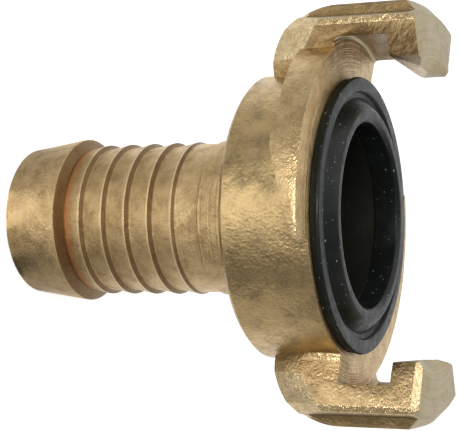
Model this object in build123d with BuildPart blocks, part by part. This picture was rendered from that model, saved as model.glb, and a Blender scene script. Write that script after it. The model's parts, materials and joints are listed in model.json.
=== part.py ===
"""Claw coupling half with a hose tail: a forged and turned brass body and its rubber seal ring.

+Z runs along the waterway, from the end of the hose tail to the claws. The origin is the centre of
the tail's end face, on which the coupling stands. The claws lie on +X and -X. The head repeats
after half a turn about Z, so each claw and each bayonet ramp is modelled once, on the +X side.
"""
import math
import os

from build123d import *

# Driving dimensions, in millimetres and degrees.
LUG_SPAN = 40.0             # between the inner tips of the two hooks
HEAD_SPAN = 58.3            # across the backs of the two claws
FACE_Z = 51.2               # the turned mating face
HOOK_GAP = 7.5              # from the mating face to the back of a hook
HOOK_THICK = 4.1

# Hose tail
BORE_R = 8.2
END_R = 10.95               # outside the end face
END_BEVEL = 0.3
BARB_R = 12.25
BARB_Z = 8.8
BARB_BACK = 0.8             # axial length of the back of the barb
VALLEY_R = 10.6
RIDGE_R = 11.25
RIDGE_COUNT = 5
FIRST_RIDGE_Z = 12.55
RIDGE_PITCH = 3.69
RIDGE_BACK = 0.55           # axial length of the steep back of a ridge
NECK_R = 10.95
COLLAR_R = 11.3             # finer turned collar before the drum
COLLAR_Z = 31.2
COLLAR_STEP = 0.35
DRUM_FILLET = 1.5           # cone that joins the collar to the rear of the drum

# Drum and waterway
DRUM_R = 20.35
DRUM_REAR_Z = 38.5
DRUM_BEVEL = 0.6
CHAMBER_R = 12.6
CHAMBER_FLOOR_Z = 39.8
CONE_HEIGHT = 2.6

# Seal seat: a mouth with a wider groove behind it, which holds the foot of the seal
MOUTH_R = 15.6
GROOVE_R = 16.4
SEAT_FLOOR_Z = 49.75
GROOVE_TOP_Z = 50.45

# Seal ring
SEAL_R = 19.6
SEAL_BORE_R = 13.15
RIM_HEIGHT = 1.35           # the flat rim stands this far out of the mating face
LIP_HEIGHT = 2.4            # and the round lip this far
RIM_BAND = 0.5              # full-radius band at the front of the rim's edge
RIM_EDGE = 0.2              # small bevels of the rim and the lip
RIM_INNER_R = 17.6
STEP_DOWN = 0.7             # from the rim to the flat annulus between rim and lip
LIP_FOOT_R = 16.7
LIP_SHOULDER_R = 15.5       # the crown of the lip runs from here to the bore
CREST_OUTER_R = 14.8
CREST_INNER_R = 13.7
CROWN_RISE = 0.5

# Bayonet ramp on each side: flange thickness against the angle from the middle of its claw
FLANGE_R = 24.55
RAMP = [(0.0, 5.6), (43.5, 4.3), (61.5, 3.7), (66.0, 4.25), (70.5, 4.05), (99.0, 0.3)]
RAMP_STEP = 8.0             # angle between two sections of the loft

# Claws, seen along Z: x runs outwards and y runs round, +y towards the ramp
CLAW_REAR_Z = 40.7
CLAW_CORNER_R = 10.0        # rounded shoulder of the forging
CLAW_ROOT_X = 16.0
ROOT_HALF_WIDTH = 7.3
FLARE_X = 21.8              # the flanks flare out between these two stations
FLARE_HALF_WIDTH = 8.4
WIDEST_X = 25.9
CLAW_HALF_WIDTH = 10.0
BACK_TAPER = 0.35           # how much the flanks close in again towards the back, per unit
PARTING_Z = (45.6, 45.9, 48.7, 51.0)    # die parting line at the root, flare, widest point and back
REAR_DRAFT = 0.45           # draft of the flanks behind the parting line, per unit
SLOT_R = 25.4               # turned floor of the slot behind the hook
SLOT_SHIFT = 1.6            # its centre lies this far to the ramp side
SLOT_CORNER_R = 0.7
TURNED_R = 28.45            # turned band on each side of the rib along the claw's back
RIB_HALF_WIDTH = 6.9
RIB_BEVEL = 0.45
NOSE_R = 27.7               # outer edge of the front face of a hook, below a 45 degree cone
NOSE_BEVEL = 0.9            # ground on the open flank of the hook
DISH_R = 21.9               # turned dish at the tip of a hook
DISH_DEPTH = 1.5
TIP_CUT_Y = 2.5             # from here the front of the tip slants outwards to the ramp side
TIP_CUTS = [(0.233, 0.0), (0.08, 0.215)]    # slants per unit sideways and per unit of depth
CLEAR = 1.0                 # overrun of cutters past the faces that they open

TIP_X = LUG_SPAN / 2
BACK_X = HEAD_SPAN / 2
HOOK_BACK_Z = FACE_Z + HOOK_GAP
FRONT_Z = HOOK_BACK_Z + HOOK_THICK


def ramp_thickness(angle):
    """Flange thickness at an angle, on the straight ramps between the points of RAMP."""
    for (start, t_start), (end, t_end) in zip(RAMP, RAMP[1:]):
        if angle <= end:
            return t_start + (t_end - t_start) * (angle - start) / (end - start)
    return RAMP[-1][1]


def ramp_angles():
    """Angles of the loft's sections: every corner of the ramp, and even steps between corners."""
    angles = [RAMP[0][0]]
    for (start, _), (end, _) in zip(RAMP, RAMP[1:]):
        steps = math.ceil((end - start) / RAMP_STEP)
        angles += [start + (end - start) * i / steps for i in range(1, steps + 1)]
    return angles


def half_space(point, along, steep, side):
    """Cutter for the outer side of a claw's flank: the plane through a point and two directions."""
    outwards = along.cross(steep) * side
    with BuildPart() as cutter:
        with BuildSketch(Plane(origin=point, x_dir=along, z_dir=outwards)):
            Rectangle(4 * FLANGE_R, 4 * FLANGE_R)
        extrude(amount=CLAW_HALF_WIDTH)
    return cutter.part


# Bayonet ramp: radial sections lofted round the head, then turned to the flange's radius.
with BuildPart() as ramp:
    for angle in ramp_angles():
        out = (math.cos(math.radians(angle)), math.sin(math.radians(angle)), 0)
        radial = Plane(origin=(0, 0, FACE_Z), x_dir=out, z_dir=(out[1], -out[0], 0))
        with BuildSketch(radial):
            with Locations((CLAW_ROOT_X, 0)):
                Rectangle(FLANGE_R + 1 - CLAW_ROOT_X, ramp_thickness(angle), align=(Align.MIN, Align.MAX))
    loft(ruled=True)
    with BuildSketch(Plane.XY.offset(FACE_Z)):
        Circle(FLANGE_R)
    extrude(amount=-RAMP[0][1] - 1, mode=Mode.INTERSECT)


# Claw: the side view of the forging, cut to its flanks, drafted behind the parting line and turned.
with BuildPart() as claw:
    with BuildSketch(Plane.XZ):
        with BuildLine():
            rear = Line((CLAW_ROOT_X, CLAW_REAR_Z), (BACK_X - CLAW_CORNER_R, CLAW_REAR_Z))
            corner = TangentArc(rear @ 1, (BACK_X, CLAW_REAR_Z + CLAW_CORNER_R), tangent=(1, 0))
            Polyline(corner @ 1, (BACK_X, FRONT_Z), (CLAW_ROOT_X, FRONT_Z), rear @ 0)
        make_face()
    extrude(amount=CLAW_HALF_WIDTH, both=True)
    with BuildSketch(Plane.XY.offset(CLAW_REAR_Z)):
        with BuildLine():
            back_width = CLAW_HALF_WIDTH - BACK_TAPER * (BACK_X + CLEAR - WIDEST_X)
            side = Polyline(
                (CLAW_ROOT_X, ROOT_HALF_WIDTH),
                (TIP_X, ROOT_HALF_WIDTH),
                (FLARE_X, FLARE_HALF_WIDTH),
                (WIDEST_X, CLAW_HALF_WIDTH),
                (BACK_X + CLEAR, back_width),
                (BACK_X + CLEAR, 0),
            )
            mirror(side, about=Plane.XZ)
            Line((CLAW_ROOT_X, ROOT_HALF_WIDTH), (CLAW_ROOT_X, -ROOT_HALF_WIDTH))
        make_face()
    extrude(amount=FRONT_Z - CLAW_REAR_Z, mode=Mode.INTERSECT)

    # Ground bevel between the nose and the open flank of the hook.
    front = claw.faces().sort_by(Axis.Z)[-1]
    open_edges = [e for e in front.edges() if e.center().Y < -ROOT_HALF_WIDTH - RIB_BEVEL]
    chamfer([e for e in open_edges if e.center().X < WIDEST_X], NOSE_BEVEL)

    # Draft of both flanks behind the parting line.
    back_half_width = CLAW_HALF_WIDTH - BACK_TAPER * (BACK_X - WIDEST_X)
    half_widths = (ROOT_HALF_WIDTH, FLARE_HALF_WIDTH, CLAW_HALF_WIDTH, back_half_width)
    parting = list(zip((TIP_X, FLARE_X, WIDEST_X, BACK_X), half_widths, PARTING_Z))
    for side in (1, -1):
        steep = Vector(0, -side * REAR_DRAFT, -1)
        for (x0, y0, z0), (x1, y1, z1) in zip(parting, parting[1:]):
            along = Vector(x1 - x0, side * (y1 - y0), z1 - z0)
            add(half_space((x0, side * y0, z0), along, steep, side), mode=Mode.SUBTRACT)

    # Turned bands, which leave a rib along the back of the claw.
    with BuildSketch(Plane.XY.offset(CLAW_REAR_Z)):
        Circle(BACK_X + CLAW_HALF_WIDTH)
        Circle(TURNED_R, mode=Mode.SUBTRACT)
        Rectangle(4 * BACK_X, 2 * RIB_HALF_WIDTH, mode=Mode.SUBTRACT)
    extrude(amount=FRONT_Z - CLAW_REAR_Z, mode=Mode.SUBTRACT)
    rib_back = claw.faces().sort_by(Axis.X)[-1]
    chamfer([e for e in rib_back.edges() if abs(e.center().Y) > RIB_HALF_WIDTH - RIB_BEVEL], RIB_BEVEL)

    # Slot behind the hook, turned with a small corner radius, and the open throat inside its flat tip.
    with BuildSketch(Plane(origin=(0, SLOT_SHIFT, 0), x_dir=(1, 0, 0), z_dir=(0, -1, 0))):
        with Locations((0, FACE_Z)):
            Rectangle(SLOT_R, HOOK_GAP, align=(Align.MIN, Align.MIN))
        slot_corner = max(vertices(), key=lambda v: v.X + v.Z)
        fillet(slot_corner, SLOT_CORNER_R)
    revolve(axis=Axis((0, SLOT_SHIFT, 0), (0, 0, 1)), mode=Mode.SUBTRACT)
    with BuildSketch(Plane.XY.offset(HOOK_BACK_Z)):
        Rectangle(2 * TIP_X, 2 * BACK_X)
    extrude(amount=HOOK_THICK, mode=Mode.SUBTRACT)

    # Turned cone at the nose and turned dish at the tip.
    nose_depth = BACK_X + CLEAR - NOSE_R
    with BuildSketch(Plane.XZ):
        Polygon((NOSE_R, FRONT_Z), (BACK_X + CLEAR, FRONT_Z - nose_depth), (BACK_X + CLEAR, FRONT_Z),
                align=None)
        Polygon((TIP_X - CLEAR, FRONT_Z - DISH_DEPTH), (TIP_X, FRONT_Z - DISH_DEPTH), (DISH_R, FRONT_Z),
                (TIP_X - CLEAR, FRONT_Z), align=None)
    revolve(axis=Axis.Z, mode=Mode.SUBTRACT)

    # The tip slants away on the ramp side, most at its slot edge, where the mating ramp rides in.
    for slope, rake in TIP_CUTS:
        sideways = Vector(slope, 1, 0)
        inwards = sideways.cross(Vector(rake, 0, -1))
        with BuildSketch(Plane(origin=(TIP_X, TIP_CUT_Y, FRONT_Z), x_dir=sideways, z_dir=inwards)):
            Rectangle(2 * BACK_X, 4 * HOOK_THICK)
        extrude(amount=BACK_X, mode=Mode.SUBTRACT)


def ridge_points(index):
    """Profile of one ridge of the hose tail: its sharp edge, and the foot of its steep back."""
    z = FIRST_RIDGE_Z + index * RIDGE_PITCH
    foot_r = NECK_R if index == RIDGE_COUNT - 1 else VALLEY_R
    return [(RIDGE_R, z), (foot_r, z + RIDGE_BACK)]


# Body: tail, barb, ridges and drum turned in one, with the ramps and claws on both sides.
with BuildPart() as coupling_body:
    with BuildSketch(Plane.XZ):
        tail = [(BORE_R, 0), (END_R - END_BEVEL, 0), (END_R, END_BEVEL), (BARB_R, BARB_Z),
                (VALLEY_R, BARB_Z + BARB_BACK)]
        for index in range(RIDGE_COUNT):
            tail += ridge_points(index)
        tail += [(NECK_R, COLLAR_Z), (COLLAR_R, COLLAR_Z + COLLAR_STEP),
                 (COLLAR_R, DRUM_REAR_Z - DRUM_FILLET), (COLLAR_R + DRUM_FILLET, DRUM_REAR_Z)]
        drum = [(DRUM_R - DRUM_BEVEL, DRUM_REAR_Z), (DRUM_R, DRUM_REAR_Z + DRUM_BEVEL), (DRUM_R, FACE_Z)]
        seat = [(MOUTH_R, FACE_Z), (MOUTH_R, GROOVE_TOP_Z), (GROOVE_R, GROOVE_TOP_Z),
                (GROOVE_R, SEAT_FLOOR_Z), (CHAMBER_R, SEAT_FLOOR_Z)]
        waterway = [(CHAMBER_R, CHAMBER_FLOOR_Z), (BORE_R, CHAMBER_FLOOR_Z - CONE_HEIGHT)]
        Polygon(*tail, *drum, *seat, *waterway, align=None)
    revolve(axis=Axis.Z)
    with Locations(Rotation(0, 0, 0), Rotation(0, 0, 180)):
        add(ramp.part)
        add(claw.part)
    # Reopen the seat and the waterway where the ramps and claws reach inside the drum.
    with BuildSketch(Plane.XZ):
        Polygon((0, SEAT_FLOOR_Z), (GROOVE_R, SEAT_FLOOR_Z), (GROOVE_R, GROOVE_TOP_Z),
                (MOUTH_R, GROOVE_TOP_Z), (MOUTH_R, FRONT_Z), (0, FRONT_Z), align=None)
    revolve(axis=Axis.Z, mode=Mode.SUBTRACT)
coupling_body.part.label = "coupling_body"

# Seal ring: a foot held in the groove, a flat rim on the face, and a round lip about the mouth.
with BuildPart() as seal_ring:
    rim_z = FACE_Z + RIM_HEIGHT
    lip_z = FACE_Z + LIP_HEIGHT
    with BuildSketch(Plane.XZ):
        with BuildLine():
            foot = Polyline(
                (SEAL_BORE_R, lip_z - CROWN_RISE),
                (SEAL_BORE_R, SEAT_FLOOR_Z),
                (GROOVE_R, SEAT_FLOOR_Z),
                (GROOVE_R, GROOVE_TOP_Z),
                (MOUTH_R, GROOVE_TOP_Z),
                (MOUTH_R, FACE_Z),
            )
            rim = Polyline(
                (MOUTH_R, FACE_Z),
                (SEAL_R - RIM_EDGE, FACE_Z),
                (SEAL_R - RIM_EDGE, rim_z - RIM_BAND - RIM_EDGE),
                (SEAL_R, rim_z - RIM_BAND),
                (SEAL_R, rim_z - RIM_EDGE),
                (SEAL_R - RIM_EDGE, rim_z),
                (RIM_INNER_R, rim_z),
                (RIM_INNER_R - RIM_EDGE, rim_z - STEP_DOWN),
                (LIP_FOOT_R, rim_z - STEP_DOWN),
                (LIP_SHOULDER_R, lip_z - CROWN_RISE),
                (CREST_OUTER_R, lip_z),
                (CREST_INNER_R, lip_z),
                (SEAL_BORE_R, lip_z - CROWN_RISE),
            )
        make_face()
    revolve(axis=Axis.Z)
seal_ring.part.label = "seal_ring"

os.makedirs("parts", exist_ok=True)
export_step(coupling_body.part, "parts/coupling_body.step")
export_step(seal_ring.part, "parts/seal_ring.step")
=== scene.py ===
import json
import math
import bmesh
import bpy
from mathutils import Matrix, Vector

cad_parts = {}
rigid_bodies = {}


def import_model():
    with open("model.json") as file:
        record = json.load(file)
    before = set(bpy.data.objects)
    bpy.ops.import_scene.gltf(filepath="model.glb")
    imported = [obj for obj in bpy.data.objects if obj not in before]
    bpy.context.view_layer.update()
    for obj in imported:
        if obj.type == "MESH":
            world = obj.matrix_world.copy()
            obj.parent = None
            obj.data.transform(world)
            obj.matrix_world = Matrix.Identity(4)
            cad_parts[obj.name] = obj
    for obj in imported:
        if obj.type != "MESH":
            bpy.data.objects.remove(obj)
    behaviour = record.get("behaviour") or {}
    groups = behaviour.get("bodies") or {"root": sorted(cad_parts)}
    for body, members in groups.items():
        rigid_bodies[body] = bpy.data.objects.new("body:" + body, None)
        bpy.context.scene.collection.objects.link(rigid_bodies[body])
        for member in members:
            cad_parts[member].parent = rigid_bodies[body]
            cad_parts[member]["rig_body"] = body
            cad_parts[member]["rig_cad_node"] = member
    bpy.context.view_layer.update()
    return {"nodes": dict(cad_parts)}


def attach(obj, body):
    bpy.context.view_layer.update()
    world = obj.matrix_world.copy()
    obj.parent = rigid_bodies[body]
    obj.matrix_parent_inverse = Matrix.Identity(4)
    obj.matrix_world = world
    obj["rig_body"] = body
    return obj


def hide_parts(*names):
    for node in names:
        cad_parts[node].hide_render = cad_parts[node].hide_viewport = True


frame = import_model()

MM = 0.001

# Camera: beside the coupling and above its mating face, and rolled so that the hose tail points
# left. It turns round the waterway only by a degree or two, so that one claw is above the other.
LOOK_AT = Vector((-0.32, 0, 31.7)) * MM
CAMERA_DISTANCE = 0.2204
CAMERA_HEIGHT = math.radians(23.2)
CAMERA_SIDE = math.radians(1.8)
CAMERA_TILT = math.radians(0.9)
SENSOR = 36.0
CLIP_FROM = 0.01
FOCAL_OVER_WIDTH = 1500 / 460

to_claw = Vector((-math.cos(CAMERA_SIDE), -math.sin(CAMERA_SIDE), 0))
outwards = Vector((math.sin(CAMERA_SIDE), -math.cos(CAMERA_SIDE), 0))
away = outwards * math.cos(CAMERA_HEIGHT) + Vector((0, 0, math.sin(CAMERA_HEIGHT)))
along_z = -outwards * math.sin(CAMERA_HEIGHT) + Vector((0, 0, math.cos(CAMERA_HEIGHT)))
right = along_z * math.cos(CAMERA_TILT) - to_claw * math.sin(CAMERA_TILT)
up = to_claw * math.cos(CAMERA_TILT) + along_z * math.sin(CAMERA_TILT)
camera_turn = Matrix((right, up, away)).transposed().to_4x4()
bpy.ops.object.camera_add()
camera = bpy.context.object
camera.matrix_world = Matrix.Translation(LOOK_AT + away * CAMERA_DISTANCE) @ camera_turn
camera.data.sensor_width = SENSOR
camera.data.lens = SENSOR * FOCAL_OVER_WIDTH
camera.data.clip_start = CLIP_FROM
bpy.context.scene.camera = camera
bpy.context.scene.view_settings.view_transform = "Standard"

# Floor: one pale sheet under the coupling, which stands on its tail. It isn't part of the coupling.
# To the camera and in reflections it shows as a white sheet that keeps the coupling's shadow.
FLOOR_SIZE = 6.0
FLOOR_DROP = 0.1 * MM
FLOOR_WHITE = (0.8, 0.8, 0.8, 1)
FLOOR_GLOW = 0.66
ROOM_PALE = 0.42
FLOOR_FAR = 0.85
BEHIND_EDGE = (0.1, -0.5)
BLACK = (0, 0, 0, 1)
STRIPS = [
    # bearing of the middle, half width to where it fades and to its end (degrees), level
    (9, (10, 19), 1.15),
    (-41, (7, 15), 0.09),
]


def add_node(tree, kind, **settings):
    """Adds a node to a tree and sets its plain properties."""
    made = tree.nodes.new(kind)
    for name, value in settings.items():
        setattr(made, name, value)
    return made


def math_node(tree, operation, first, second=None):
    """A math node of two values or sockets. Returns its output."""
    made = add_node(tree, "ShaderNodeMath", operation=operation)
    for index, value in enumerate((first, second)):
        if isinstance(value, bpy.types.NodeSocket):
            tree.links.new(value, made.inputs[index])
        elif value is not None:
            made.inputs[index].default_value = value
    return made.outputs[0]


def map_value(tree, value, low, high, to_low=0.0, to_high=1.0):
    """A value stretched smoothly from one range to another. Returns the output."""
    made = add_node(tree, "ShaderNodeMapRange", interpolation_type="SMOOTHSTEP")
    tree.links.new(value, made.inputs["Value"])
    for label, number in (("From Min", low), ("From Max", high), ("To Min", to_low), ("To Max", to_high)):
        made.inputs[label].default_value = number
    return made.outputs["Result"]


def noise(tree, vector, per_mm, detail=3.0, roughness=0.55):
    """A noise field with so many spots to a millimetre. Returns its value."""
    made = add_node(tree, "ShaderNodeTexNoise")
    tree.links.new(vector, made.inputs["Vector"])
    if isinstance(per_mm, bpy.types.NodeSocket):
        tree.links.new(math_node(tree, "MULTIPLY", per_mm, 1 / MM), made.inputs["Scale"])
    else:
        made.inputs["Scale"].default_value = per_mm / MM
    made.inputs["Detail"].default_value = detail
    made.inputs["Roughness"].default_value = roughness
    return made.outputs[0]


def mix_colour(tree, factor, first, second):
    """Two colours or sockets mixed. Returns the output."""
    made = add_node(tree, "ShaderNodeMix", data_type="RGBA")
    for socket, value in ((made.inputs[0], factor), (made.inputs[6], first), (made.inputs[7], second)):
        if isinstance(value, bpy.types.NodeSocket):
            tree.links.new(value, socket)
        else:
            socket.default_value = value
    return made.outputs[2]


def mix_value(tree, factor, first, second):
    """Two values or sockets mixed. Returns the output."""
    made = add_node(tree, "ShaderNodeMix", data_type="FLOAT")
    for socket, value in ((made.inputs[0], factor), (made.inputs[2], first), (made.inputs[3], second)):
        if isinstance(value, bpy.types.NodeSocket):
            tree.links.new(value, socket)
        else:
            socket.default_value = value
    return made.outputs[0]


def dot(tree, vector, direction):
    """How far a vector reaches along a fixed direction. Returns the output."""
    made = add_node(tree, "ShaderNodeVectorMath", operation="DOT_PRODUCT")
    tree.links.new(vector, made.inputs[0])
    made.inputs[1].default_value = direction
    return made.outputs["Value"]


def seen_directly(tree):
    """One where a ray comes from the camera, or from gloss or glass, and zero elsewhere."""
    path = add_node(tree, "ShaderNodeLightPath")
    either = add_node(tree, "ShaderNodeMath", operation="MAXIMUM")
    tree.links.new(path.outputs["Is Camera Ray"], either.inputs[0])
    tree.links.new(path.outputs["Is Glossy Ray"], either.inputs[1])
    seen = add_node(tree, "ShaderNodeMath", operation="MAXIMUM")
    tree.links.new(either.outputs[0], seen.inputs[0])
    tree.links.new(path.outputs["Is Transmission Ray"], seen.inputs[1])
    return path, seen.outputs[0]


bpy.ops.object.select_all(action="DESELECT")
bpy.ops.mesh.primitive_plane_add(size=FLOOR_SIZE, location=(0, 0, -FLOOR_DROP))
floor = bpy.context.object
floor.name = "floor"
paper = bpy.data.materials.new("white_paper")
paper.use_nodes = True
tree = paper.node_tree
tree.nodes.clear()
sheet = add_node(tree, "ShaderNodeBsdfDiffuse")
glow = add_node(tree, "ShaderNodeEmission")
both = add_node(tree, "ShaderNodeAddShader")
surface = add_node(tree, "ShaderNodeOutputMaterial")
# In reflections only, the sheet has a bright strip and a dark strip, each at its own bearing round
# the coupling, and is pale elsewhere. They are set to draw the light and dark bands on the
# brass; a plain sheet under these lamps would not show them.
spot = add_node(tree, "ShaderNodeNewGeometry").outputs["Position"]
behind = dot(tree, spot, -outwards)
in_front = math_node(tree, "MULTIPLY", behind, -1)
bearing = math_node(tree, "ARCTAN2", dot(tree, spot, to_claw), in_front)
mirrored = map_value(tree, math_node(tree, "COSINE", bearing), *BEHIND_EDGE, ROOM_PALE, FLOOR_FAR)
for middle, edge, strip_level in STRIPS:
    off = math_node(tree, "ABSOLUTE", math_node(tree, "SUBTRACT", bearing, math.radians(middle)))
    inside = map_value(tree, off, math.radians(edge[0]), math.radians(edge[1]), 1.0, 0.0)
    mirrored = mix_value(tree, inside, mirrored, strip_level)
path, seen = seen_directly(tree)
gloss_only = math_node(tree, "SUBTRACT", seen, path.outputs["Is Camera Ray"])
shown = mix_value(tree, gloss_only, 1.0, mirrored)
tree.links.new(mix_colour(tree, shown, BLACK, FLOOR_WHITE), sheet.inputs["Color"])
glow_level = math_node(tree, "MULTIPLY", math_node(tree, "MULTIPLY", seen, shown), FLOOR_GLOW)
tree.links.new(glow_level, glow.inputs["Strength"])
tree.links.new(sheet.outputs[0], both.inputs[0])
tree.links.new(glow.outputs[0], both.inputs[1])
tree.links.new(both.outputs[0], surface.inputs["Surface"])
floor.data.materials.append(paper)

# Studio: a white backdrop behind the coupling, and a dimmer room behind the camera, which is what
# the brass mirrors on the side towards the camera. It lights the coupling evenly and softly.
ROOM_FILL = 0.42
ROOM_DIM = 0.3
BACKDROP_FROM = -0.25
BACKDROP_TO = 0.55

world = bpy.data.worlds.new("studio")
bpy.context.scene.world = world
world.use_nodes = True
tree = world.node_tree
background = tree.nodes["Background"]
background.inputs["Color"].default_value = (1, 1, 1, 1)
compass = add_node(tree, "ShaderNodeTexCoord")
facing = dot(tree, compass.outputs["Generated"], -away)
room = map_value(tree, facing, BACKDROP_FROM, BACKDROP_TO, ROOM_DIM, 1.0)
path, seen = seen_directly(tree)
mirrored = mix_value(tree, path.outputs["Is Camera Ray"], room, 1.0)
tree.links.new(mix_value(tree, seen, ROOM_FILL, mirrored), background.inputs["Strength"])

# Lamps: a soft box beside the camera, a little towards the upper claw, and a larger, weaker one
# over the claws.
LAMPS = {
    # name: (right, up, away, size, power), from the middle of the coupling, in metres and watts
    "soft_box": (-0.02, 0.09, 0.55, 0.16, 1.5),
    "claw_light": (0.5, 0.25, 0.2, 0.5, 1.3),
}
for name, (along, across, back, size, power) in LAMPS.items():
    spot = LOOK_AT + right * along + up * across + away * back
    bpy.ops.object.light_add(type="AREA", location=spot)
    lamp = bpy.context.object
    lamp.name = name
    lamp.rotation_euler = (spot - LOOK_AT).to_track_quat("Z", "Y").to_euler()
    lamp.data.size = size
    lamp.data.energy = power

# Coupling body: one brass forging. The hose tail, drum, mating face, slots and hook faces are
# turned; the claws and ramps keep the skin of the die, and one flank of each hook is ground.
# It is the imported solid, merged, with its edges worn round.
WORN_EDGE = 0.14 * MM
FORGED_EDGE = 0.6 * MM
SMOOTH_UNDER = math.radians(28)
GROUND_FROM = 56.3
BORE_EDGE = 15.7
DRUM_R = 20.35
RIB_FROM = 28.5
BAND_R = 28.45
FACE_Z = 51.2
HOOK_Z = 58.7
NOSE_Z = 61                 # the sloped front of a claw starts here
CHAMBER_Z = 39.5            # just under the chamber's floor
RIB_SIDE = 27.9             # where the bevels of the rib along a claw's back begin
RIB_HALF = 7.1
BAND_FROM_Y = 6.5
CORNER = (26.3, 9.85)       # long outer edge of a claw's flank
CORNER_REACH = 0.85
CLAW_FROM_Z = 48
CLAW_ROOT_Z = 53
FLANK_Y = 5                 # beyond this a face belongs to a flank
FLANK_X = 20
SIDEWAYS = 0.8              # a face that looks this much along Y is a flank
WHOLE_FACE = 1e-6           # areas in square metres
SMALL_FACE = 1.2e-5
MATERIAL_OF = (
    "turned_brass", "pale_brass", "forged_brass", "forging_painted_lit", "beaded_edge_glint", "worn_edge_and_glint",
    "drum_brass", "slot_brass_shaded", "dark_rib_and_shaded_flank", "ground_brass", "waterway_painted_dark",
)


def finish_of(face):
    """Name of the finish of a face of the body, from its place and the way that it points."""
    centre = face.calc_center_median() / MM
    half = math.copysign(1, centre.x)
    x, y = centre.x * half, centre.y * half
    radius = math.hypot(centre.x, centre.y)
    outward = (face.normal.x * centre.x + face.normal.y * centre.y) / max(radius, 1e-6)
    flat, sideways = face.normal.z, abs(face.normal.y)
    # Faces inside the waterway get the near-black finish: painted shade in the bore.
    if radius < BORE_EDGE and 0.05 < centre.z < FACE_Z - 0.05:
        if outward < -0.1 or (abs(flat) > 0.9 and centre.z > CHAMBER_Z):
            return "waterway_painted_dark"
    # Undersides of the hooks get a darker copy of the turned brass: painted shade.
    if centre.z > HOOK_Z - 0.1 and flat < -0.9:
        return "slot_brass_shaded"
    # Sloped claw fronts on this side get a lighter copy of the forging: painted light.
    if sideways > 0.4 and flat > 0.4 and centre.z > NOSE_Z and y < -FLANK_Y:
        return "forging_painted_lit"
    if flat > 0.5 and radius > 15:
        return "pale_brass"
    # The slot floors under the hooks get the same painted shade.
    on_head = radius > DRUM_R + 0.2 and centre.z > FACE_Z - 0.01
    if on_head and sideways < 0.6 and outward < -0.6:
        return "slot_brass_shaded"
    # The rounded flank edges take a brighter finish: the beads are real, the brightness is a painted highlight.
    by_corner = math.hypot(x - CORNER[0], abs(y) - CORNER[1]) < CORNER_REACH
    if by_corner and centre.z > CLAW_FROM_Z and face.calc_area() < SMALL_FACE:
        return "beaded_edge_glint"
    if x > RIB_FROM or (x > RIB_SIDE and abs(y) < RIB_HALF and centre.z < 62):
        return "dark_rib_and_shaded_flank"
    if radius > BAND_R - 0.35 and outward > 0.9 and abs(y) > BAND_FROM_Y:
        return "pale_brass"
    if y > FLANK_Y and centre.z > GROUND_FROM and x > 19 and sideways > SIDEWAYS:
        return "ground_brass"
    # The downward corners at the claw roots get the same lighter copy of the forging: painted light.
    if x > 21 and sideways > 0.4 and flat < -0.15 and centre.z < CLAW_ROOT_Z:
        return "forging_painted_lit"
    # This flank of each claw, below the ground flat, takes the dark rib's finish: painted shade on that flank.
    if y > FLANK_Y and x > FLANK_X and centre.z > FACE_Z and sideways > SIDEWAYS:
        return "dark_rib_and_shaded_flank"
    if radius > DRUM_R + 0.4:
        return "forged_brass"
    if radius > DRUM_R - 1:
        return "drum_brass"
    return "turned_brass"


bpy.ops.object.select_all(action="DESELECT")
brass_node = frame["nodes"]["coupling_body"]
brass_node.select_set(True)
bpy.context.view_layer.objects.active = brass_node
bpy.ops.object.duplicate()
body = bpy.context.object
body.name = "brass_body"
bpy.ops.object.parent_clear(type="CLEAR_KEEP_TRANSFORM")
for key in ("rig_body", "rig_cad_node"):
    del body[key]
body.data.materials.clear()
bpy.ops.object.mode_set(mode="EDIT")
bpy.ops.mesh.select_all(action="SELECT")
bpy.ops.mesh.remove_doubles(threshold=0.002 * MM)
bpy.ops.mesh.dissolve_limited(angle_limit=math.radians(0.5))
bpy.ops.mesh.select_all(action="DESELECT")
# The ground flat ends across the middle of the hook's flank.
mesh = bmesh.from_edit_mesh(body.data)
for face in mesh.faces:
    centre = face.calc_center_median() / MM
    half = math.copysign(1, centre.x)
    side = centre.y * half > FLANK_Y and centre.x * half > FLANK_X
    whole = face.calc_area() > WHOLE_FACE
    if side and abs(face.normal.y) > SIDEWAYS and centre.z > FACE_Z and whole:
        face.select_set(True)
bmesh.update_edit_mesh(body.data)
bpy.ops.mesh.bisect(plane_co=(0, 0, GROUND_FROM * MM), plane_no=(0, 0, 1))
# The long edge of each flank, where the two dies met, is rounder than the rest.
bpy.ops.mesh.select_all(action="DESELECT")
mesh = bmesh.from_edit_mesh(body.data)
for edge in mesh.edges:
    ends = [vertex.co / MM for vertex in edge.verts]
    on_corner = all(25.0 < abs(end.x) < 26.9 and 9.3 < abs(end.y) < 10.3 for end in ends)
    if on_corner and all(end.z > CLAW_FROM_Z for end in ends) and abs(ends[0].z - ends[1].z) > 0.5:
        edge.select_set(True)
bmesh.update_edit_mesh(body.data)
bpy.ops.mesh.bevel(offset=FORGED_EDGE, segments=3, clamp_overlap=True)
bpy.ops.object.mode_set(mode="OBJECT")

for name in MATERIAL_OF:
    body.data.materials.append(bpy.data.materials.new(name))
mesh = bmesh.new()
mesh.from_mesh(body.data)
for face in mesh.faces:
    face.material_index = MATERIAL_OF.index(finish_of(face))
mesh.to_mesh(body.data)
mesh.free()
wear_and_glint, dark = MATERIAL_OF.index("worn_edge_and_glint"), MATERIAL_OF.index("waterway_painted_dark")
# The bevel's faces get the bright edge finish: partly wear, partly a painted highlight along each edge.
worn = body.modifiers.new("worn_edges", "BEVEL")
worn.limit_method = "ANGLE"
worn.angle_limit = SMOOTH_UNDER
worn.width = WORN_EDGE
worn.segments = 2
worn.material = wear_and_glint
bpy.ops.object.modifier_apply(modifier=worn.name)
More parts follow.
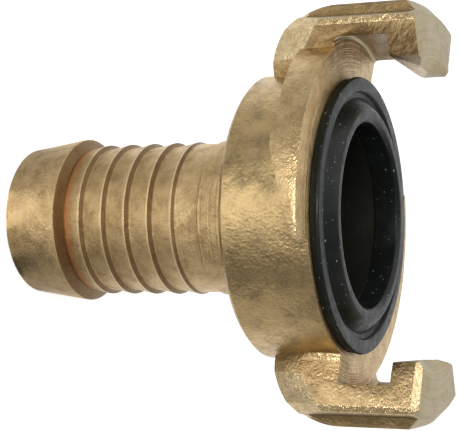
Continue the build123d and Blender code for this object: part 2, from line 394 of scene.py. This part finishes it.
# Only outer edges keep the bright edge finish, which is partly wear and partly a painted highlight. An inner corner
# has the finish of the face beside it.
mesh = bmesh.new()
mesh.from_mesh(body.data)
finishes = {}
for face in mesh.faces:
    if face.material_index == wear_and_glint:
        around = [other for edge in face.edges for other in edge.link_faces]
        beside = [other for other in around if other.material_index != wear_and_glint]
        centre = face.calc_center_median()
        rise = sum((centre - other.calc_center_median()).dot(face.normal) for other in beside)
        dark_side = [other for other in beside if other.material_index == dark]
        if beside and (rise < 0 or dark_side):
            finishes[face] = (dark_side or beside)[0].material_index
for face, finish_index in finishes.items():
    face.material_index = finish_index
mesh.to_mesh(body.data)
mesh.free()
bpy.ops.object.shade_smooth_by_angle(angle=SMOOTH_UNDER)
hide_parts("coupling_body")
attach(body, "root")


def new_group(name, inputs, outputs):
    """A shader node group with its own sockets, and its input and output nodes."""
    group = bpy.data.node_groups.new(name, "ShaderNodeTree")
    for label, kind in inputs:
        group.interface.new_socket(label, in_out="INPUT", socket_type="NodeSocket" + kind)
    for label, kind in outputs:
        group.interface.new_socket(label, in_out="OUTPUT", socket_type="NodeSocket" + kind)
    return group, add_node(group, "NodeGroupInput"), add_node(group, "NodeGroupOutput")


# Tarnish: clean metal broken by darker, browner patches, with fine speckle inside them.
SPECKLE_SHARE = 0.28
PATCH_EDGE = (0.34, 0.76)
tarnish, given, out = new_group(
    "tarnish",
    [("Vector", "Vector"), ("Clean", "Color"), ("Tarnished", "Color"), ("Spots", "Float"), ("Cover", "Float")],
    [("Colour", "Color"), ("Mask", "Float")],
)
broad = noise(tarnish, given.outputs["Vector"], given.outputs["Spots"], 4.0, 0.6)
speckle = noise(tarnish, given.outputs["Vector"], 2.6, 2.0, 0.6)
broad = math_node(tarnish, "MULTIPLY", broad, 1 - SPECKLE_SHARE)
speckle = math_node(tarnish, "MULTIPLY", speckle, SPECKLE_SHARE)
both = math_node(tarnish, "ADD", broad, speckle)
cover = math_node(tarnish, "ADD", both, given.outputs["Cover"])
patches = map_value(tarnish, cover, *PATCH_EDGE)
blended = mix_colour(tarnish, patches, given.outputs["Clean"], given.outputs["Tarnished"])
tarnish.links.new(blended, out.inputs["Colour"])
tarnish.links.new(patches, out.inputs["Mask"])

# Turning marks: rings round the waterway, along the length of a shaft and across a turned face.
PATTERN = [("Vector", "Vector"), ("Per mm", "Float")]
turning, given, out = new_group("turning_marks", PATTERN, [("Height", "Float")])
parts = add_node(turning, "ShaderNodeSeparateXYZ")
turning.links.new(given.outputs["Vector"], parts.inputs[0])
squares = [math_node(turning, "POWER", parts.outputs[axis], 2.0) for axis in "XY"]
radius = math_node(turning, "SQRT", math_node(turning, "ADD", *squares))
along = math_node(turning, "ADD", radius, math_node(turning, "MULTIPLY", parts.outputs["Z"], 0.8))
waver = math_node(turning, "MULTIPLY", noise(turning, given.outputs["Vector"], 0.15, 1.0), 0.35 * MM)
marks = add_node(turning, "ShaderNodeTexNoise", noise_dimensions="1D")
millimetres = math_node(turning, "MULTIPLY", math_node(turning, "ADD", along, waver), 1 / MM)
turn_count = math_node(turning, "MULTIPLY", millimetres, given.outputs["Per mm"])
turning.links.new(turn_count, marks.inputs["W"])
marks.inputs["Scale"].default_value = 1.0
marks.inputs["Detail"].default_value = 2.0
turning.links.new(marks.outputs[0], out.inputs["Height"])

# Skin of the die: small rounded pits and swellings.
skin, given, out = new_group("die_skin", PATTERN, [("Height", "Float")])
swell = noise(skin, given.outputs["Vector"], given.outputs["Per mm"], 3.0, 0.6)
pits = add_node(skin, "ShaderNodeTexVoronoi", feature="SMOOTH_F1")
skin.links.new(given.outputs["Vector"], pits.inputs["Vector"])
pit_scale = math_node(skin, "MULTIPLY", given.outputs["Per mm"], 0.9 / MM)
skin.links.new(pit_scale, pits.inputs["Scale"])
pit_depth = math_node(skin, "MULTIPLY", pits.outputs["Distance"], 0.5)
skin.links.new(math_node(skin, "ADD", swell, pit_depth), out.inputs["Height"])


def bump(tree, height, depth, under=None):
    """A bump of so many millimetres, laid over another one if there is one. Returns its normal."""
    made = add_node(tree, "ShaderNodeBump")
    made.inputs["Distance"].default_value = depth * MM
    tree.links.new(height, made.inputs["Height"])
    if under:
        tree.links.new(under, made.inputs["Normal"])
    return made.outputs["Normal"]


def finish(name, clean, dark, spots, cover, roughness, marks=(), grain=(), metallic=1.0):
    """Builds a brass finish in the material of that name. Returns its tree, shader and coordinates."""
    material = bpy.data.materials[name]
    material.use_nodes = True
    tree = material.node_tree
    shader = tree.nodes["Principled BSDF"]
    shader.inputs["Metallic"].default_value = metallic
    place = add_node(tree, "ShaderNodeTexCoord").outputs["Object"]
    patches = add_node(tree, "ShaderNodeGroup", node_tree=tarnish)
    tree.links.new(place, patches.inputs["Vector"])
    patches.inputs["Clean"].default_value = (*clean, 1)
    patches.inputs["Tarnished"].default_value = (*dark, 1)
    patches.inputs["Spots"].default_value = spots
    patches.inputs["Cover"].default_value = cover
    tree.links.new(patches.outputs["Colour"], shader.inputs["Base Color"])
    tree.links.new(map_value(tree, patches.outputs["Mask"], 0, 1, *roughness), shader.inputs["Roughness"])
    normal = None
    for group, cuts in ((skin, grain), (turning, marks)):
        for per_mm, depth in cuts:
            cut = add_node(tree, "ShaderNodeGroup", node_tree=group)
            tree.links.new(place, cut.inputs["Vector"])
            cut.inputs["Per mm"].default_value = per_mm
            normal = bump(tree, cut.outputs["Height"], depth, normal)
    if normal:
        tree.links.new(normal, shader.inputs["Normal"])
    return tree, shader, place


BRASS = (0.71, 0.515, 0.265)
BRONZE = (0.39, 0.245, 0.105)
SOOTY = (0.22, 0.165, 0.085)
PALE = (0.41, 0.335, 0.185)
CREST_GLINT = (0.92, 0.72, 0.42, 1)
VALLEY_GLOW_TINT = (0.80, 0.30, 0.085, 1)
RIDGE_SHADE = (0.17, 0.095, 0.038, 1)
DULL_RING = (0.27, 0.2, 0.11, 1)
SCRATCH = (0.60, 0.43, 0.22, 1)
RIDGES = (12.55, 3.69)      # height of the first ridge of the tail, and their pitch
RIDGE_BACK = 0.11           # share of the pitch that the steep back of a ridge takes
TAIL_TOP = 27.9
BARB_BACK = (8.8, 9.7)
COLLAR_FROM = 31.0

tree, shader, place = finish(
    "turned_brass", BRASS, BRONZE, 0.5, 0.0, (0.3, 0.4), (), [(2.4, 0.08), (5.5, 0.12)]
)
parts = add_node(tree, "ShaderNodeSeparateXYZ")
tree.links.new(place, parts.inputs[0])
height = math_node(tree, "MULTIPLY", parts.outputs["Z"], 1 / MM)


def between(tree, value, rise, fall):
    """One inside a stretch and zero outside, with a soft start and end. Returns the output."""
    return math_node(tree, "MULTIPLY", map_value(tree, value, *rise), map_value(tree, value, *fall, 1.0, 0.0))


# The steep back of each ridge and of the barb is darkened with painted shade, and the sharp edge above it
# gets a painted highlight. The valley behind the barb gets a painted warm glow of reflected light.
tail_end = (TAIL_TOP, TAIL_TOP + 0.2)
from_first = math_node(tree, "SUBTRACT", height, RIDGES[0])
turn = math_node(tree, "FRACT", math_node(tree, "DIVIDE", from_first, RIDGES[1]))
on_ridges = between(tree, height, (12.3, 12.5), tail_end)
on_back = map_value(tree, turn, RIDGE_BACK, RIDGE_BACK + 0.04, 1.0, 0.0)
backs = math_node(tree, "MULTIPLY", on_back, on_ridges)
barb = between(tree, height, (BARB_BACK[0], BARB_BACK[0] + 0.1), (BARB_BACK[1], BARB_BACK[1] + 0.5))
# Painted warm glow of reflected light in the valley behind the barb.
valley_glow = between(tree, height, (9.3, 9.8), (10.0, 11.4))
# Painted highlight along the sharp crest of each ridge.
near_edge = map_value(tree, turn, 0.90, 0.95)
wear_and_glint = math_node(tree, "MULTIPLY", near_edge, between(tree, height, (12.0, 12.2), tail_end))
colour = shader.inputs["Base Color"].links[0].from_socket
colour = mix_colour(tree, math_node(tree, "MULTIPLY", wear_and_glint, 0.6), colour, CREST_GLINT)
colour = mix_colour(tree, math_node(tree, "MULTIPLY", valley_glow, 0.7), colour, VALLEY_GLOW_TINT)
# Painted shade on the steep backs of the ridges and on the barb's back.
painted_shade = math_node(tree, "MULTIPLY", math_node(tree, "MAXIMUM", backs, barb), 0.85)
tree.links.new(mix_colour(tree, painted_shade, colour, RIDGE_SHADE), shader.inputs["Base Color"])
# The collar before the drum keeps its coarser turning marks.
rings = add_node(tree, "ShaderNodeGroup", node_tree=turning)
tree.links.new(place, rings.inputs["Vector"])
rings.inputs["Per mm"].default_value = 2.2
on_collar = map_value(tree, height, COLLAR_FROM - 0.6, COLLAR_FROM + 0.6, 0.12, 1.0)
marked = math_node(tree, "MULTIPLY", rings.outputs["Height"], on_collar)
under = shader.inputs["Normal"].links[0].from_socket
tree.links.new(bump(tree, marked, 0.16, under), shader.inputs["Normal"])

tree, shader, place = finish(
    "pale_brass", PALE, (0.31, 0.24, 0.13), 0.3, -0.05, (0.36, 0.46), [(2.2, 0.045)], [(4.0, 0.02)]
)
# Turned faces carry faint rings of duller metal as well.
rings = add_node(tree, "ShaderNodeGroup", node_tree=turning)
tree.links.new(place, rings.inputs["Vector"])
rings.inputs["Per mm"].default_value = 2.3
dull = math_node(tree, "MULTIPLY", map_value(tree, rings.outputs["Height"], 0.5, 0.62), 0.3)
colour = shader.inputs["Base Color"].links[0].from_socket
tree.links.new(mix_colour(tree, dull, colour, DULL_RING), shader.inputs["Base Color"])
finish("forged_brass", BRASS, (0.36, 0.235, 0.105), 0.4, -0.02, (0.27, 0.4), (), [(0.7, 0.13), (3.2, 0.09)])
# A lighter copy of the forging for faces turned to the lamps: painted highlight.
finish(
    "forging_painted_lit", (0.95, 0.74, 0.43), (0.5, 0.35, 0.17), 0.9, -0.06, (0.26, 0.4), (), [(0.8, 0.12), (3.0, 0.12)]
)
# Beaded flank edges: real beads, with their brightness a painted highlight.
finish(
    "beaded_edge_glint", (0.84, 0.63, 0.34), (0.40, 0.27, 0.12), 1.1, -0.02, (0.22, 0.36), (), [(1.5, 0.3), (3.4, 0.08)]
)
# Outer edges: brass rubbed by wear, brightened further as a painted highlight.
finish("worn_edge_and_glint", (0.90, 0.70, 0.40), (0.55, 0.39, 0.19), 1.2, -0.03, (0.26, 0.36), (), [(2.8, 0.08)])
finish(
    "drum_brass", (0.64, 0.455, 0.22), SOOTY, 0.28, -0.03, (0.28, 0.4), [(1.6, 0.03)], [(0.55, 0.12), (2.6, 0.075)]
)
# Slot floors and hook undersides: a darker copy of the turned brass, as painted shade.
finish(
    "slot_brass_shaded", (0.30, 0.21, 0.11), (0.19, 0.13, 0.065), 0.4, 0.0, (0.36, 0.46), [(1.8, 0.06)], [(4.0, 0.03)]
)
# The rib along a claw's back is dark; the flank that shares this finish is darkened as painted shade.
finish(
    "dark_rib_and_shaded_flank", (0.40, 0.27, 0.125), (0.20, 0.135, 0.065), 0.5, 0.0, (0.32, 0.46), (), [(1.3, 0.08), (3.0, 0.05)]
)
# Inside the waterway the brass is painted near black, as painted shade in the bore, and hardly shines.
tree, shader, place = finish(
    "waterway_painted_dark", (0.009, 0.009, 0.006), (0.006, 0.006, 0.004), 0.4, 0.0, (0.6, 0.7), [(3.0, 0.05)], (), 0.0
)
shader.inputs["Specular IOR Level"].default_value = 0.08
tree, shader, place = finish("ground_brass", (0.40, 0.27, 0.125), (0.24, 0.155, 0.07), 0.4, 0.0, (0.32, 0.42))
# The belt grinder left long scratches across the flat, at a slant.
slant = add_node(tree, "ShaderNodeMapping", vector_type="TEXTURE")
tree.links.new(place, slant.inputs["Vector"])
slant.inputs["Rotation"].default_value = (0, math.radians(-58), 0)
slant.inputs["Scale"].default_value = (1, 1, 16)
scratches = noise(tree, slant.outputs["Vector"], 2.6, 3.0, 0.65)
tree.links.new(bump(tree, scratches, 0.12), shader.inputs["Normal"])
colour = shader.inputs["Base Color"].links[0].from_socket
streaks = mix_colour(tree, map_value(tree, scratches, 0.38, 0.66), colour, SCRATCH)
tree.links.new(streaks, shader.inputs["Base Color"])

# Seal ring: one moulded ring of black rubber, pushed into the groove of the mating face. Its flat
# rim lies on the face, and its round lip closes on the lip of the other half.
LIP_EDGE = 0.3 * MM
bpy.ops.object.select_all(action="DESELECT")
rubber_node = frame["nodes"]["seal_ring"]
rubber_node.select_set(True)
bpy.context.view_layer.objects.active = rubber_node
bpy.ops.object.duplicate()
seal = bpy.context.object
seal.name = "rubber_seal"
bpy.ops.object.parent_clear(type="CLEAR_KEEP_TRANSFORM")
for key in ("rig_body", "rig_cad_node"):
    del seal[key]
bpy.ops.object.mode_set(mode="EDIT")
bpy.ops.mesh.select_all(action="SELECT")
bpy.ops.mesh.remove_doubles(threshold=0.002 * MM)
bpy.ops.mesh.dissolve_limited(angle_limit=math.radians(0.5))
bpy.ops.object.mode_set(mode="OBJECT")
rounded = seal.modifiers.new("moulded_edges", "BEVEL")
rounded.limit_method = "ANGLE"
rounded.angle_limit = math.radians(15)
rounded.width = LIP_EDGE
rounded.segments = 3
bpy.ops.object.modifier_apply(modifier=rounded.name)
bpy.ops.object.shade_smooth_by_angle(angle=math.radians(40))
seal.data.materials.clear()
rubber = bpy.data.materials.new("black_rubber")
seal.data.materials.append(rubber)
rubber.use_nodes = True
tree = rubber.node_tree
shader = tree.nodes["Principled BSDF"]
shader.inputs["Specular IOR Level"].default_value = 0.2
place = add_node(tree, "ShaderNodeTexCoord").outputs["Object"]
bloom = map_value(tree, noise(tree, place, 0.3, 4.0, 0.6), 0.35, 0.7)
tone = mix_colour(tree, bloom, (0.006, 0.008, 0.0065, 1), (0.011, 0.014, 0.0115, 1))
dust = map_value(tree, noise(tree, place, 2.6, 1.0, 0.5), 0.735, 0.76)
specks = math_node(tree, "MULTIPLY", dust, 0.6)
tree.links.new(mix_colour(tree, specks, tone, (0.45, 0.47, 0.44, 1)), shader.inputs["Base Color"])
sheen = map_value(tree, noise(tree, place, 0.8, 3.0), 0.3, 0.7, 0.3, 0.44)
tree.links.new(sheen, shader.inputs["Roughness"])
tree.links.new(bump(tree, noise(tree, place, 3.0, 3.0), 0.02), shader.inputs["Normal"])
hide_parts("seal_ring")
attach(seal, "root")
